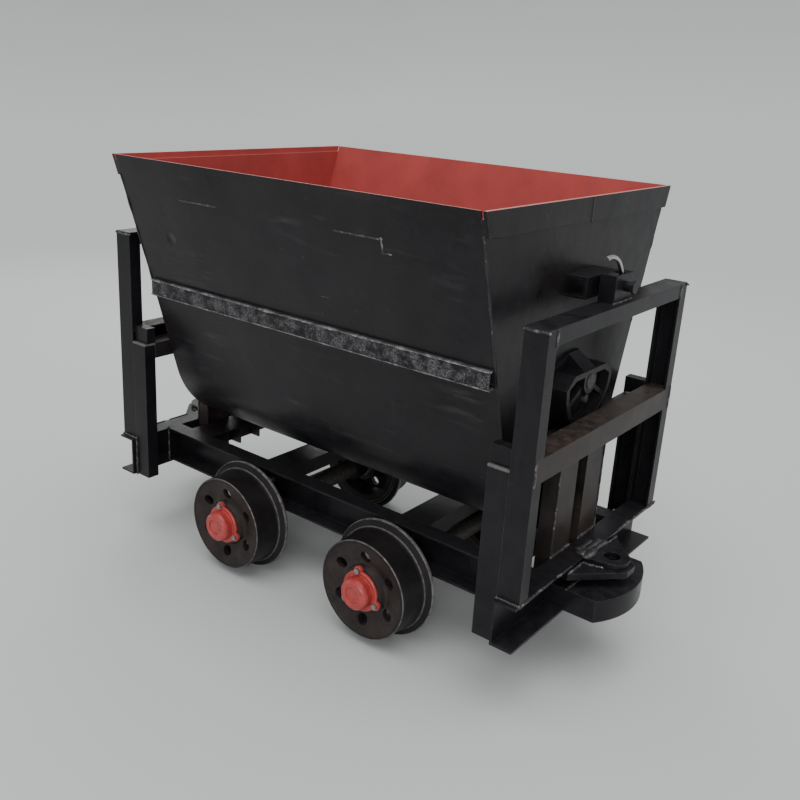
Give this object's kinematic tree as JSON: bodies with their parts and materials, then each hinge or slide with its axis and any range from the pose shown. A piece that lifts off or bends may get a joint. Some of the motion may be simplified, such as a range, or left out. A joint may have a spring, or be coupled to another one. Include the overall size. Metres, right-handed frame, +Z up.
{
  "type": "mine cart",
  "caption": "Side-tipping narrow-gauge mine cart: round-bottomed bucket rolling on end frames, flanged wheels, pin-hole couplers and a sliding latch.",
  "frame": {"origin": "the middle of the car at the lowest point of the wheel flanges", "axes": "+X along the car towards the end with the latch, +Y across the track, +Z up"},
  "size_m": [1.8096, 0.98, 1.275],
  "materials": {
    "black_enamel": "semi-gloss black enamel, scuffed and dusty",
    "bucket_paint": "semi-gloss black enamel outside, red primer inside",
    "red_enamel": "semi-gloss red enamel",
    "cast_iron_painted": "rough casting, painted dark",
    "wheel_iron": "dark casting with worn bright tread and flange",
    "worn_steel": "worn dark steel with bright edges",
    "bare_steel": "dull bare steel",
    "bearing_steel": "ground steel"
  },
  "bodies": {
    "frame": {"side_sills": "black_enamel", "end_beams": "black_enamel", "cross_members": "black_enamel", "tie_plates": "black_enamel", "axle_seats": "cast_iron_painted", "seat_bolts": "bare_steel", "web_bolts": "bare_steel", "axles": "bare_steel", "axle_nuts": "bare_steel", "portal_legs": "black_enamel", "top_bars": "black_enamel", "tie_bars": "black_enamel", "track_rails": "worn_steel", "posts": "black_enamel", "post_caps": "worn_steel", "stop_blocks": "black_enamel", "supports": "black_enamel", "bumpers": "black_enamel", "coupler_plates": "black_enamel", "lug_doublers": "black_enamel", "latch_housing": "black_enamel"},
    "bucket": {"side_plates": "bucket_paint", "trough": "bucket_paint", "end_walls": "bucket_paint", "rim_bands": "black_enamel", "knuckle_bars": "black_enamel", "backing_plates": "black_enamel", "rockers": "cast_iron_painted", "rocker_bolts": "bare_steel", "latch_keeper": "black_enamel"},
    "rocker_pins": {"centre_pins": "bare_steel"},
    "latch": {"latch_bolt": "bare_steel", "latch_handle": "bare_steel"},
    "wheel_set_1": {"wheel_1": "wheel_iron", "bearings_1": "bearing_steel", "hub_cap_1": "red_enamel", "cap_bolts_1": "bare_steel"},
    "wheel_set_2": {"wheel_2": "wheel_iron", "bearings_2": "bearing_steel", "hub_cap_2": "red_enamel", "cap_bolts_2": "bare_steel"},
    "wheel_set_3": {"wheel_3": "wheel_iron", "bearings_3": "bearing_steel", "hub_cap_3": "red_enamel", "cap_bolts_3": "bare_steel"},
    "wheel_set_4": {"wheel_4": "wheel_iron", "bearings_4": "bearing_steel", "hub_cap_4": "red_enamel", "cap_bolts_4": "bare_steel"}
  },
  "joints": [
    {"name": "rocker_roll", "type": "slide", "parent": "frame", "child": "rocker_pins", "axis": [0, 1, 0], "range_m": [-0.2, 0.2]},
    {"name": "bucket_tip", "type": "hinge", "parent": "rocker_pins", "child": "bucket", "pos_m": [0, 0, 0.8033], "axis": [1, 0, 0], "range_deg": [-90, 90]},
    {"name": "latch_slide", "type": "slide", "parent": "frame", "child": "latch", "axis": [-1, 0, 0], "range_m": [0, 0.016]},
    {"name": "wheel_spin_1", "type": "hinge", "parent": "frame", "child": "wheel_set_1", "pos_m": [0.281, -0.334, 0.175], "axis": [0, 1, 0], "continuous": true},
    {"name": "wheel_spin_2", "type": "hinge", "parent": "frame", "child": "wheel_set_2", "pos_m": [-0.281, -0.334, 0.175], "axis": [0, 1, 0], "continuous": true},
    {"name": "wheel_spin_3", "type": "hinge", "parent": "frame", "child": "wheel_set_3", "pos_m": [0.281, 0.334, 0.175], "axis": [0, 1, 0], "continuous": true},
    {"name": "wheel_spin_4", "type": "hinge", "parent": "frame", "child": "wheel_set_4", "pos_m": [-0.281, 0.334, 0.175], "axis": [0, 1, 0], "continuous": true}
  ],
  "couplings": [
    {"joint": "rocker_roll", "follows": "bucket_tip", "m_per_rad": -0.127}
  ]
}
